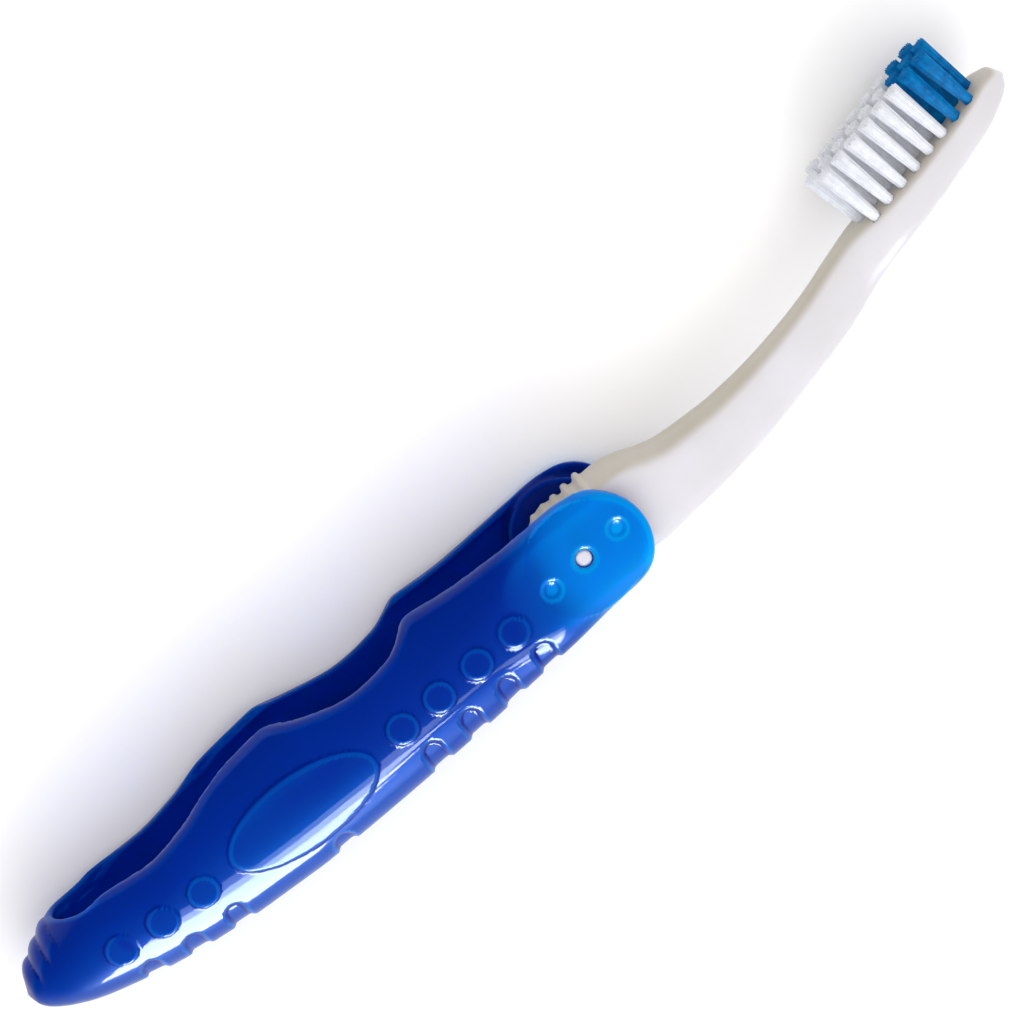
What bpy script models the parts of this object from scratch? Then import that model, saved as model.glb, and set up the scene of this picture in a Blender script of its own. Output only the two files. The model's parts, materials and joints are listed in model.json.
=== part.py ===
"""Folding travel toothbrush, opened out and lying on its side.

A tapering brush swings on two moulded trunnions between the side walls of an oval,
hollow handle.  Sizes are millimetres, measured from the pivot: +X runs from the
handle's nose through the pivot towards the brush head, +Y is the side that the
bristles and the handle's opening face, and +Z is along the pivot axis, upwards.
"""

import math

import bmesh
import bpy
from mathutils import Matrix, Vector

MM = 0.001
FAR = 20.0                # cutters reach this far, beyond the object on every side

# ---------------------------------------------------------------- handle, driving sizes
NOSE_X = -96.2            # tip of the closed nose
TRIM_X = 13.0             # the blank handle runs past the pivot end to here
WALL = 1.7                # moulded wall
REST_Z = 10.0             # flat outer faces of the pivot end and of the oval pads
HANDLE_SIDES = 40         # faceting of the outer surface: around, and spacing along X
HANDLE_PITCH = 4.0
CAVITY_SIDES = 32
CAVITY_PITCH = 5.0
NOSE_STATIONS = (0.0, 0.25, 0.8, 1.8, 3.2, 5.2, 7.8)    # close-set sections behind the tip
BODY_START = 11.0         # from here on, behind the tip, the sections are evenly spaced
CAVITY_OVERRUN = 1.0      # the cavity runs past the trimmed end
NOSE_BLEND_X = -80.0      # sections between here and the tip also move back when inset
LEAST_HALF = 0.25         # an inset section never closes up beyond this

# Knots along X of the oval section: opening side, spine side, half width, squareness.
OPENING_LINE = ((NOSE_X, -6.2), (-95.2, -3.9), (-93.0, -1.9), (-91.0, -0.6), (-88.8, 0.7),
                (-84.7, 2.4), (-75.0, 4.8), (-65.0, 6.3), (-56.0, 7.1), (-48.0, 7.9),
                (-34.0, 8.5), (-24.0, 8.8), (-10.0, 8.9), (TRIM_X, 8.9))
SPINE_LINE = ((NOSE_X, -6.4), (-95.4, -8.4), (-94.0, -9.7), (-91.0, -11.3), (-87.7, -12.5),
              (-83.7, -13.4), (-77.6, -14.5), (-70.8, -15.2), (-62.0, -15.6), (-54.0, -15.6),
              (-47.0, -15.2), (-34.6, -14.2), (-22.4, -12.9), (-10.0, -10.7), (0.0, -8.9),
              (5.0, -8.5), (TRIM_X, -8.4))
HALF_WIDTH = ((NOSE_X, 0.4), (-95.4, 2.7), (-94.0, 4.1), (-91.0, 5.8), (-87.7, 7.0),
              (-83.7, 8.0), (-77.6, 9.0), (-70.0, 9.6), (-50.0, 9.6), (-18.0, 9.8),
              (-9.0, 10.3), (TRIM_X, 10.3))
SQUARENESS = ((NOSE_X, 2.0), (-84.0, 2.15), (-60.0, 2.4), (-30.0, 2.7), (-18.0, 3.0),
              (-10.0, 4.5), (-3.0, 7.0), (TRIM_X, 7.0))

# The wavy rim: three smooth stretches that meet at sharp corners.
RIM_NOSE = ((-86.8, 1.9), (-80.0, 1.2), (-72.5, 0.8), (-65.0, 2.2), (-58.4, 4.7), (-48.6, 6.4))
RIM_WAIST = ((-48.6, 6.4), (-43.5, 4.6), (-36.0, 3.3), (-29.5, 4.2), (-24.3, 7.2))
RIM_PIVOT = ((-24.3, 7.2), (-17.0, 6.8), (-9.0, 7.2), (1.4, 8.35))
LOBE_CENTRE = (1.4, -0.15)
LOBE_RADIUS = 8.5
# Half width of the slot that lets the brush in, from the nose to the pivot end.
SLOT_HALF = ((-80.0, 5.9), (-60.0, 5.9), (-55.0, 4.8), (-48.0, 4.6), (-24.0, 4.9),
             (-16.0, 5.6), (-8.0, 6.8), (TRIM_X, 8.0))
SLOT_NOSE_X = -86.9
SLOT_FLOOR_Y = -1.0
RIM_OVERRUN = 0.6         # the rim is trimmed from just ahead of the slot's nose end

GROOVE_WIDTH = 3.7
GROOVE_DEPTH = 0.5
GROOVE_TOPS = ((-11.8, -5.5), (-18.5, -6.5), (-25.1, -7.2), (-31.7, -7.8), (-48.7, -11.3),
               (-66.2, -9.9), (-73.1, -10.0), (-79.8, -9.7))
DISC_RADIUS = 2.25
DISC_RISE = 0.35
DISCS = ((-13.4, -2.4), (-20.0, -3.0), (-26.7, -3.6), (-33.2, -4.1), (-67.7, -6.1),
         (-74.5, -6.2), (-81.3, -6.3))
PAD_CENTRE = (-50.5, -5.3)
PAD_HALF = (12.2, 5.7)
PAD_RISE = 0.5
NOSE_RIDGES = (-94.2, -91.8, -89.4)
NOSE_RIDGE_RADIUS = 0.75
NOSE_RIDGE_SINK = 0.35    # depth of a ridge's centre line below the surface
NOSE_RIDGE_SPAN = slice(13, 28)   # the corners of a section that a ridge passes over

# ---------------------------------------------------------------- hinge
HUB_RADIUS = 7.4
HUB_FACE_Z = 6.3          # inner face of the round pad on each wall
HUB_ROOT_Z = 9.4          # the pad is rooted this far into the wall
PIN_RADIUS = 1.35
PIN_END_Z = 8.8           # the trunnions end below the outer faces
PIN_HOLE_RADIUS = 1.65
DETENT_ORBIT = 6.0        # distance of the detents from the pivot axis
OPEN_DETENT_DEG = 8.0
FOLD_DEG = 167.0
DIMPLE_RADIUS = 1.2
DIMPLE_DEPTH = 0.9
SOCKET_RADIUS = 1.0
SOCKET_DEPTH = 0.5
NUB_RADIUS = 0.6
NUB_RISE = 0.3
NUB_ROOT = 0.5            # a nub is rooted this far into the side of the boss

# ---------------------------------------------------------------- brush, driving sizes
BOSS_RADIUS = 5.0
BOSS_HALF = 5.9
TIP_X = 84.2
BRUSH_SIDES = 24
BRUSH_STATIONS = (0.0, 3.0, 6.0, 9.0, 12.0, 14.5, 17.0, 20.0, 24.0, 28.0, 32.0, 36.0, 40.0,
                  44.0, 48.0, 52.0, 54.5, 57.0, 59.5, 62.0, 66.0, 70.0, 74.0, 77.0, 79.0,
                  80.5, 81.7, 82.7, 83.4, 83.9, TIP_X)
BRUSH_TOP = ((0.0, 4.7), (6.0, 5.9), (9.0, 6.15), (12.0, 5.75), (14.6, 4.95), (17.4, 4.4),
             (20.0, 4.3), (25.0, 4.4), (30.2, 4.95), (35.4, 5.9), (40.6, 7.2), (45.7, 8.8),
             (50.8, 10.8), (55.0, 12.2), (58.6, 12.95), (63.0, 13.85), (68.2, 15.2),
             (73.0, 16.65), (77.8, 18.25), (81.0, 19.2), (82.8, 19.2), (TIP_X, 17.6))
BRUSH_BACK = ((0.0, -4.7), (5.0, -6.2), (9.9, -6.5), (17.1, -5.95), (26.6, -4.5),
              (36.9, -1.9), (47.5, 1.4), (58.4, 6.3), (66.0, 8.8), (71.0, 10.5),
              (76.0, 12.4), (80.8, 14.5), (83.2, 15.9), (TIP_X, 17.4))
BRUSH_HALF = ((0.0, 5.7), (9.0, 5.7), (12.0, 5.5), (17.0, 5.0), (27.0, 4.25),
              (37.0, 3.7), (47.0, 3.3), (52.0, 3.3), (55.0, 3.7), (58.0, 4.6), (61.0, 5.2),
              (64.0, 5.35), (76.0, 5.35), (79.0, 4.95), (81.5, 3.9), (83.2, 2.6), (TIP_X, 0.4))
BRUSH_SQUARENESS = ((0.0, 8.0), (9.0, 7.0), (17.0, 4.5), (50.0, 4.5), (60.0, 5.0),
                    (78.0, 5.0), (TIP_X, 2.5))
RIB_RADIUS = 0.5
RIB_HALF_LENGTH = 5.4
RIBS = ((5.7, 5.65), (3.6, 5.35), (1.6, 5.0), (-0.3, 4.75), (-2.2, 4.3))

# ---------------------------------------------------------------- bristle tufts
HEAD_ORIGIN = (58.7, 12.95)   # foot of the first tuft of the two outer rows
HEAD_TILT_DEG = 15.5
TUFT_PITCH = 2.84
# Name, side offset, count and distance along the head of the first tuft of each row.
TUFT_ROWS = (("upper", 3.4, 8, 0.0), ("middle", 0.0, 9, -0.5 * TUFT_PITCH),
             ("lower", -3.4, 8, 0.0))
FIRST_BLUE_ALONG = 15.0
TUFT_HOLE_RADIUS = 0.95
TUFT_HOLE_DEPTH = 3.1
TUFT_HOLE_CLEAR = 1.5         # the hole's cutter starts this far above the head's face
TUFT_FOOT = -1.6
TUFT_FLARE = 0.5              # above the face by this much, a tuft starts to widen
TUFT_TIP = 9.3
TUFT_FOOT_RADIUS = 0.8
TUFT_TIP_RADIUS = 1.2
TUFT_SIDES = 10
ANCHOR_SIZE = (0.3, 1.0, 1.4)
ANCHOR_CENTRE = -2.35


# ---------------------------------------------------------------- general helpers
def smooth_line(knots):
    """Return y(x) through the knots, with no overshoot between them."""
    xs = [knot[0] for knot in knots]
    ys = [knot[1] for knot in knots]
    steps = [b - a for a, b in zip(xs, xs[1:])]
    rises = [(b - a) / step for a, b, step in zip(ys, ys[1:], steps)]
    slopes = [rises[0]]
    for left, right, before, after in zip(rises, rises[1:], steps, steps[1:]):
        if left * right <= 0.0:
            slopes.append(0.0)
            continue
        first = 2.0 * after + before
        second = after + 2.0 * before
        slopes.append((first + second) / (first / left + second / right))
    slopes.append(rises[-1])

    def value(x):
        x = min(max(x, xs[0]), xs[-1])
        index = 0
        while index < len(steps) - 1 and x > xs[index + 1]:
            index += 1
        step = steps[index]
        t = (x - xs[index]) / step
        start = (1.0 + 2.0 * t) * (1.0 - t) ** 2 * ys[index]
        end = t * t * (3.0 - 2.0 * t) * ys[index + 1]
        bend = t * (1.0 - t) ** 2 * slopes[index] - t * t * (1.0 - t) * slopes[index + 1]
        return start + end + step * bend

    return value


def spread(low, high, count):
    """Evenly spaced values from low to high, both included."""
    return [low + (high - low) * index / (count - 1) for index in range(count)]


def oval(x, top, bottom, half_width, power, count, flat=math.inf):
    """One ring of the squared-off oval section at x, starting at the bottom.

    Its two sides are planed flat at z = flat and z = -flat where they reach that far.
    """
    middle = 0.5 * (top + bottom)
    half_height = 0.5 * (top - bottom)
    ring = []
    for index in range(count):
        angle = 2.0 * math.pi * index / count
        c = math.cos(angle)
        s = math.sin(angle)
        y = middle - half_height * math.copysign(abs(c) ** (2.0 / power), c)
        z = half_width * math.copysign(abs(s) ** (2.0 / power), s)
        ring.append(Vector((x, y, min(max(z, -flat), flat))))
    return ring


def circle(centre, radius, count, start_deg=0.0):
    """Corner points of a regular outline round centre, in a plane."""
    points = []
    for index in range(count):
        angle = math.radians(start_deg) + 2.0 * math.pi * index / count
        points.append((centre[0] + radius * math.cos(angle), centre[1] + radius * math.sin(angle)))
    return points


def stadium(top, width, bottom, arc_count):
    """An upright bar outline whose upper end is round and whose foot is at y = bottom."""
    radius = 0.5 * width
    points = [(top[0] - radius, bottom), (top[0] + radius, bottom)]
    for angle in spread(0.0, math.pi, arc_count):
        points.append((top[0] + radius * math.cos(angle), top[1] - radius + radius * math.sin(angle)))
    return points


def new_object(name, bm):
    """Turn a bmesh in millimetres into an object in metres with outward faces."""
    bmesh.ops.recalc_face_normals(bm, faces=bm.faces)
    bmesh.ops.scale(bm, vec=(MM, MM, MM), verts=bm.verts)
    mesh = bpy.data.meshes.new(name)
    bm.to_mesh(mesh)
    bm.free()
    obj = bpy.data.objects.new(name, mesh)
    bpy.context.scene.collection.objects.link(obj)
    return obj


def add_loft(bm, rings):
    """Skin a list of equal rings into a closed body."""
    loops = [[bm.verts.new(point) for point in ring] for ring in rings]
    for first, second in zip(loops, loops[1:]):
        for index in range(len(first)):
            after = (index + 1) % len(first)
            bm.faces.new((first[index], first[after], second[after], second[index]))
    bm.faces.new(loops[0])
    bm.faces.new(loops[-1])


def add_prism(bm, outline, low, high):
    """Extrude a closed XY outline along Z."""
    add_loft(bm, [[Vector((x, y, z)) for x, y in outline] for z in (low, high)])


def add_tube(bm, path, radius, sides):
    """Sweep a round section along a path that lies in a plane of constant X."""
    rings = []
    for index, point in enumerate(path):
        before = path[max(index - 1, 0)]
        after = path[min(index + 1, len(path) - 1)]
        along = (after - before).normalized()
        across = along.cross(Vector((1.0, 0.0, 0.0)))
        ring = []
        for u, v in circle((0.0, 0.0), radius, sides):
            ring.append(point + Vector((u, 0.0, 0.0)) + across * v)
        rings.append(ring)
    add_loft(bm, rings)


def boolean(target, tool, operation):
    """Apply a Boolean of tool on target and remove the tool."""
    modifier = target.modifiers.new(operation.lower(), "BOOLEAN")
    modifier.operation = operation
    modifier.object = tool
    modifier.solver = "EXACT"
    depsgraph = bpy.context.evaluated_depsgraph_get()
    mesh = bpy.data.meshes.new_from_object(target.evaluated_get(depsgraph))
    target.modifiers.clear()
    old = target.data
    name = old.name
    target.data = mesh
    bpy.data.meshes.remove(old)
    mesh.name = name
    tool_mesh = tool.data
    bpy.data.objects.remove(tool)
    bpy.data.meshes.remove(tool_mesh)


def prisms(name, outlines, low, high):
    """One object that holds a prism for each outline."""
    bm = bmesh.new()
    for outline in outlines:
        add_prism(bm, outline, low, high)
    return new_object(name, bm)


def plastic(name, colour, roughness, metallic=0.0, transmission=0.0):
    """A Principled material."""
    material = bpy.data.materials.new(name)
    material.use_nodes = True
    shader = material.node_tree.nodes["Principled BSDF"]
    shader.inputs["Base Color"].default_value = (*colour, 1.0)
    shader.inputs["Roughness"].default_value = roughness
    shader.inputs["Metallic"].default_value = metallic
    shader.inputs["Transmission Weight"].default_value = transmission
    material.diffuse_color = (*colour, 1.0)
    return material


def finish(obj, material, parent, sharp_deg=35.0):
    """Give an object its material, shading and parent."""
    obj.data.materials.clear()
    obj.data.materials.append(material)
    obj.data.shade_smooth()
    obj.data.set_sharp_from_angle(angle=math.radians(sharp_deg))
    obj.parent = parent


def orbit(angle_deg):
    """The point on the detent circle at an angle from +X."""
    angle = math.radians(angle_deg)
    return (DETENT_ORBIT * math.cos(angle), DETENT_ORBIT * math.sin(angle))


# ---------------------------------------------------------------- handle
opening_line = smooth_line(OPENING_LINE)
spine_line = smooth_line(SPINE_LINE)
half_width_line = smooth_line(HALF_WIDTH)
squareness_line = smooth_line(SQUARENESS)
slot_line = smooth_line(SLOT_HALF)


def handle_ring(x, inset, count):
    """Section of the handle at x, moved inwards by inset; the nose moves back as well."""
    nose_share = min(max((NOSE_BLEND_X - x) / (NOSE_BLEND_X - NOSE_X), 0.0), 1.0)
    source = max(x - inset * nose_share, NOSE_X)
    half_width = max(half_width_line(source) - inset, LEAST_HALF)
    middle = 0.5 * (opening_line(source) + spine_line(source))
    half_height = 0.5 * (opening_line(source) - spine_line(source)) - inset
    half_height = max(half_height, LEAST_HALF)
    return oval(x, middle + half_height, middle - half_height, half_width,
                squareness_line(source), count, REST_Z - max(inset, 0.0))


def handle_blank(name, inset, count=HANDLE_SIDES, pitch=HANDLE_PITCH):
    """The whole oval body, closed at the nose, moved inwards by inset."""
    nose = NOSE_X + inset
    stations = [nose + step for step in NOSE_STATIONS]
    body_start = nose + BODY_START
    body_count = math.ceil((TRIM_X - body_start) / pitch) + 1
    end = TRIM_X + (CAVITY_OVERRUN if inset > GROOVE_DEPTH else 0.0)
    stations.extend(spread(body_start, end, body_count))
    bm = bmesh.new()
    add_loft(bm, [handle_ring(x, inset, count) for x in stations])
    return new_object(name, bm)


def rim_outline():
    """Everything above the wavy rim and beyond the round pivot end, as one outline."""
    points = [(SLOT_NOSE_X - RIM_OVERRUN, FAR)]
    for knots, count in ((RIM_NOSE, 18), (RIM_WAIST, 14), (RIM_PIVOT, 10)):
        line = smooth_line(knots)
        for x in spread(knots[0][0], knots[-1][0], count)[:-1]:
            points.append((x, line(x)))
    for angle in spread(90.0, -90.0, 25):
        turn = math.radians(angle)
        points.append((LOBE_CENTRE[0] + LOBE_RADIUS * math.cos(turn),
                       LOBE_CENTRE[1] + LOBE_RADIUS * math.sin(turn)))
    points.extend(((LOBE_CENTRE[0], -FAR), (FAR, -FAR), (FAR, FAR)))
    return points


def slot_cutter():
    """The channel's mouth, a vertical-sided slot seen along Y."""
    near = [(x, slot_line(x)) for x in spread(SLOT_HALF[0][0], SLOT_HALF[-1][0], 26)]
    reach = SLOT_HALF[0][0] - SLOT_NOSE_X
    width = SLOT_HALF[0][1]
    nose = []
    for angle in spread(180.0, 90.0, 7)[:-1]:
        turn = math.radians(angle)
        nose.append((SLOT_HALF[0][0] + reach * math.cos(turn), width * math.sin(turn)))
    near = nose + near
    far = [(x, -z) for x, z in reversed(near) if z > 1e-6]
    bm = bmesh.new()
    levels = (SLOT_FLOOR_Y, FAR)
    add_loft(bm, [[Vector((x, y, z)) for x, z in near + far] for y in levels])
    return new_object("slot_cutter", bm)


def raised_marks():
    """Round and oval marks, standing proud of both side walls."""
    outlines = [circle(centre, DISC_RADIUS, 16) for centre in DISCS]
    marks = prisms("discs", outlines, -FAR, FAR)
    boolean(marks, handle_blank("disc_surface", -DISC_RISE), "INTERSECT")
    pad = []
    for u, v in circle((0.0, 0.0), 1.0, 28):
        pad.append((PAD_CENTRE[0] + PAD_HALF[0] * u, PAD_CENTRE[1] + PAD_HALF[1] * v))
    pads = prisms("pads", [pad], -FAR, FAR)
    boolean(pads, handle_blank("pad_surface", -PAD_RISE), "INTERSECT")
    return marks, pads


def groove_cutter():
    """Shallow grooves that wrap across the spine on to both walls."""
    outlines = [stadium(top, GROOVE_WIDTH, -FAR, 7) for top in GROOVE_TOPS]
    grooves = prisms("grooves", outlines, -FAR, FAR)
    boolean(grooves, handle_blank("groove_floor", GROOVE_DEPTH), "DIFFERENCE")
    return grooves


def nose_ridges():
    """Three ridges over the opening side of the closed nose."""
    bm = bmesh.new()
    for x in NOSE_RIDGES:
        ring = handle_ring(x, NOSE_RIDGE_SINK, HANDLE_SIDES)
        add_tube(bm, ring[NOSE_RIDGE_SPAN], NOSE_RIDGE_RADIUS, 8)
    return new_object("nose_ridges", bm)


def both_walls(name, centres, radius, low, high, sides):
    """Upright cylinders from z = low to high and their mirror images below."""
    bm = bmesh.new()
    for centre in centres:
        for bottom, top in ((low, high), (-high, -low)):
            add_prism(bm, circle(centre, radius, sides), bottom, top)
    return new_object(name, bm)


def build_handle(material, parent):
    """The one-piece handle moulding."""
    shell = handle_blank("handle_shell", 0.0)
    for marks in raised_marks():
        boolean(shell, marks, "UNION")
    boolean(shell, nose_ridges(), "UNION")
    boolean(shell, groove_cutter(), "DIFFERENCE")
    boolean(shell, handle_blank("cavity", WALL, CAVITY_SIDES, CAVITY_PITCH), "DIFFERENCE")
    boolean(shell, slot_cutter(), "DIFFERENCE")
    boolean(shell, prisms("rim_cutter", [rim_outline()], -FAR, FAR), "DIFFERENCE")
    hubs = both_walls("hubs", [(0.0, 0.0)], HUB_RADIUS, HUB_FACE_Z, HUB_ROOT_Z, 40)
    boolean(shell, hubs, "UNION")
    hole = prisms("pin_hole", [circle((0.0, 0.0), PIN_HOLE_RADIUS, 24)], -FAR, FAR)
    boolean(shell, hole, "DIFFERENCE")
    centres = [orbit(OPEN_DETENT_DEG), orbit(OPEN_DETENT_DEG + 180.0)]
    dimples = both_walls("dimples", centres, DIMPLE_RADIUS, REST_Z - DIMPLE_DEPTH, FAR, 16)
    boolean(shell, dimples, "DIFFERENCE")
    centres = [orbit(OPEN_DETENT_DEG), orbit(OPEN_DETENT_DEG + FOLD_DEG)]
    sockets = both_walls("sockets", centres, SOCKET_RADIUS, HUB_FACE_Z - SOCKET_DEPTH,
                         HUB_FACE_Z + SOCKET_DEPTH, 12)
    boolean(shell, sockets, "DIFFERENCE")
    finish(shell, material, parent)
    return shell


# ---------------------------------------------------------------- brush
def head_point(along, up):
    """A point of the head's own frame, in the brush's XY plane."""
    tilt = math.radians(HEAD_TILT_DEG)
    x = HEAD_ORIGIN[0] + along * math.cos(tilt) - up * math.sin(tilt)
    y = HEAD_ORIGIN[1] + along * math.sin(tilt) + up * math.cos(tilt)
    return x, y


def tuft_feet():
    """Name, distance along the head and side offset of every tuft."""
    feet = []
    for row, side, count, first in TUFT_ROWS:
        for index in range(count):
            feet.append((f"{row}_{index + 1}", first + index * TUFT_PITCH, side))
    return feet


def upright_rings(along, side, levels, sides):
    """Rings of a column that stands square on the head's face."""
    tilt = math.radians(HEAD_TILT_DEG)
    axis_u = Vector((math.cos(tilt), math.sin(tilt), 0.0))
    axis_w = Vector((0.0, 0.0, 1.0))
    rings = []
    for up, radius in levels:
        x, y = head_point(along, up)
        centre = Vector((x, y, side))
        ring = []
        for u, w in circle((0.0, 0.0), radius, sides):
            ring.append(centre + axis_u * u + axis_w * w)
        rings.append(ring)
    return rings


def brush_blank():
    """Neck and head as one loft from the pivot to the tip."""
    top = smooth_line(BRUSH_TOP)
    back = smooth_line(BRUSH_BACK)
    half = smooth_line(BRUSH_HALF)
    square = smooth_line(BRUSH_SQUARENESS)
    bm = bmesh.new()
    rings = [oval(x, top(x), back(x), half(x), square(x), BRUSH_SIDES) for x in BRUSH_STATIONS]
    add_loft(bm, rings)
    return new_object("brush_body", bm)


def build_brush_body(material, parent):
    """Head, neck, ribbed boss and trunnions, one white moulding."""
    body = brush_blank()
    boss = prisms("boss", [circle((0.0, 0.0), BOSS_RADIUS, 32)], -BOSS_HALF, BOSS_HALF)
    boolean(body, boss, "UNION")
    ribs = prisms("ribs", [circle(rib, RIB_RADIUS, 8) for rib in RIBS],
                  -RIB_HALF_LENGTH, RIB_HALF_LENGTH)
    boolean(body, ribs, "UNION")
    pins = prisms("trunnions", [circle((0.0, 0.0), PIN_RADIUS, 20)], -PIN_END_Z, PIN_END_Z)
    boolean(body, pins, "UNION")
    nubs = both_walls("nubs", [orbit(OPEN_DETENT_DEG)], NUB_RADIUS, BOSS_HALF - NUB_ROOT,
                      BOSS_HALF + NUB_RISE, 12)
    boolean(body, nubs, "UNION")
    bm = bmesh.new()
    levels = ((TUFT_HOLE_CLEAR, TUFT_HOLE_RADIUS), (-TUFT_HOLE_DEPTH, TUFT_HOLE_RADIUS))
    for _, along, side in tuft_feet():
        add_loft(bm, upright_rings(along, side, levels, TUFT_SIDES))
    boolean(body, new_object("tuft_holes", bm), "DIFFERENCE")
    finish(body, material, parent)
    return body


def build_tufts(white, blue, parent):
    """Every tuft as its own closed body."""
    levels = ((TUFT_FOOT, TUFT_FOOT_RADIUS), (TUFT_FLARE, TUFT_FOOT_RADIUS),
              (TUFT_TIP, TUFT_TIP_RADIUS))
    tufts = []
    for name, along, side in tuft_feet():
        bm = bmesh.new()
        add_loft(bm, upright_rings(along, side, levels, TUFT_SIDES))
        tuft = new_object(f"tuft_{name}", bm)
        finish(tuft, blue if along > FIRST_BLUE_ALONG else white, parent)
        tufts.append(tuft)
    return tufts


def build_anchors(material, parent):
    """The small metal plate that holds the foot of each tuft in its hole."""
    tilt = Matrix.Rotation(math.radians(HEAD_TILT_DEG), 4, "Z")
    anchors = []
    for name, along, side in tuft_feet():
        x, y = head_point(along, ANCHOR_CENTRE)
        bm = bmesh.new()
        place = Matrix.Translation((x, y, side)) @ tilt @ Matrix.Diagonal((*ANCHOR_SIZE, 1.0))
        bmesh.ops.create_cube(bm, size=1.0, matrix=place)
        anchor = new_object(f"anchor_{name}", bm)
        finish(anchor, material, parent)
        anchors.append(anchor)
    return anchors


# ---------------------------------------------------------------- assembly
def empty(name, parent=None):
    """An empty that carries other objects."""
    obj = bpy.data.objects.new(name, None)
    bpy.context.scene.collection.objects.link(obj)
    obj.parent = parent
    return obj


def stand_on_origin(pivot, objects):
    """Move the pivot so that the object's box stands centred on the origin."""
    corners = [vertex.co for obj in objects for vertex in obj.data.vertices]
    low = [min(corner[axis] for corner in corners) for axis in range(3)]
    high = [max(corner[axis] for corner in corners) for axis in range(3)]
    pivot.location = (-0.5 * (low[0] + high[0]), -0.5 * (low[1] + high[1]), -low[2])


def main():
    for obj in list(bpy.data.objects):
        bpy.data.objects.remove(obj, do_unlink=True)
    blue_plastic = plastic("translucent_blue_plastic", (0.0, 0.055, 0.42), 0.12, 0.0, 0.4)
    white_plastic = plastic("white_plastic", (0.84, 0.82, 0.84), 0.3)
    white_bristle = plastic("white_nylon", (0.78, 0.8, 0.86), 0.45)
    blue_bristle = plastic("blue_nylon", (0.0, 0.11, 0.36), 0.4)
    metal = plastic("anchor_metal", (0.75, 0.7, 0.55), 0.35, 1.0)

    pivot = empty("pivot")
    swing = empty("brush_swing", pivot)
    objects = [build_handle(blue_plastic, pivot), build_brush_body(white_plastic, swing)]
    objects.extend(build_tufts(white_bristle, blue_bristle, swing))
    objects.extend(build_anchors(metal, swing))
    stand_on_origin(pivot, objects)


main()
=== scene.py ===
"""Looks of a folding travel toothbrush that lies opened out on a pale floor.

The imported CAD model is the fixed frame.  The handle, the brush and the bristles are
made again here with fine surfaces, each in the place of its CAD nodes.  Sizes are in
millimetres from the pivot: +X runs from the handle's nose towards the brush head, +Y
is the side that the bristles face, and +Z is along the pivot axis, upwards.
"""

import json
import math

import bpy
import numpy as np
from mathutils import Matrix, Vector


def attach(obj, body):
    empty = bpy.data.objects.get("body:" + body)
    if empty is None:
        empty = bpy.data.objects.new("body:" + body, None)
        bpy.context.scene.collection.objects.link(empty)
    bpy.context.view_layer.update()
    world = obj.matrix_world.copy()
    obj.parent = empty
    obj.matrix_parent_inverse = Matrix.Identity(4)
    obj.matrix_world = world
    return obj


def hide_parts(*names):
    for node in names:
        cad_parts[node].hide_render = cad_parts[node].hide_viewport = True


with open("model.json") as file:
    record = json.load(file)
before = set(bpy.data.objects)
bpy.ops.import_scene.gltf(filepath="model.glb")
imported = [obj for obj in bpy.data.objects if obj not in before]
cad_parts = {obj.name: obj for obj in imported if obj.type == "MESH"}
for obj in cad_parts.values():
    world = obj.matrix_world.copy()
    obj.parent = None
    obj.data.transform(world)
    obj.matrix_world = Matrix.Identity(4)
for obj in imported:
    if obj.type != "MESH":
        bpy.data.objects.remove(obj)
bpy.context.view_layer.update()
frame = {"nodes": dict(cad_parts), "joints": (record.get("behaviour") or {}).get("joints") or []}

MM = 0.001
PIVOT = np.array(frame["joints"][0]["pos_m"]) / MM

# ---------------------------------------------------------------- handle
NOSE_X = -96.2
TRIM_X = 13.0
WALL = 1.7
REST_Z = 10.0             # half the handle's width over its flats
REST_ROUND = 0.3
OPENING_LINE = ((NOSE_X, -6.2), (-95.2, -3.9), (-93.0, -1.9), (-91.0, -0.6), (-88.8, 0.7),
                (-84.7, 2.4), (-75.0, 4.8), (-65.0, 6.3), (-56.0, 7.1), (-48.0, 7.9),
                (-34.0, 8.5), (-24.0, 8.8), (-10.0, 8.9), (TRIM_X, 8.9))
SPINE_LINE = ((NOSE_X, -6.4), (-95.4, -8.4), (-94.0, -9.7), (-91.0, -11.3), (-87.7, -12.5),
              (-83.7, -13.4), (-77.6, -14.5), (-70.8, -15.2), (-62.0, -15.6), (-54.0, -15.6),
              (-47.0, -15.2), (-34.6, -14.2), (-22.4, -12.9), (-10.0, -10.7), (0.0, -8.9),
              (5.0, -8.5), (TRIM_X, -8.4))
HALF_WIDTH = ((NOSE_X, 0.4), (-95.4, 2.7), (-94.0, 4.1), (-91.0, 5.8), (-87.7, 7.0),
              (-83.7, 8.0), (-77.6, 9.0), (-70.0, 9.6), (-50.0, 9.6), (-24.0, 9.65),
              (-13.0, 9.75), (-7.0, 10.0), (TRIM_X, 10.0))
SQUARENESS = ((NOSE_X, 2.0), (-84.0, 2.15), (-60.0, 2.4), (-30.0, 2.7), (-18.0, 3.0),
              (-10.0, 4.0), (-3.0, 5.0), (TRIM_X, 5.0))
RIM_NOSE = ((-86.8, 1.9), (-80.0, 1.2), (-72.5, 0.8), (-65.0, 2.2), (-58.4, 4.7), (-48.6, 6.4))
RIM_WAIST = ((-48.6, 6.4), (-43.5, 4.6), (-36.0, 3.3), (-29.5, 4.2), (-24.3, 7.2))
RIM_PIVOT = ((-24.3, 7.2), (-17.0, 6.8), (-9.0, 7.2), (1.4, 8.35))
RIM_SOFTEN = 0.7          # the rim's corners are rounded over this reach
RIM_SAMPLES = 5
RIM_OUTER_ROUND = 0.9
RIM_INNER_ROUND = 0.35
LOBE_CENTRE = (1.4, -0.15)
LOBE_RADIUS = 8.5
LOBE_UNDERCUT = 0.3       # slope of the line that closes the spine under the round end
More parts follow.
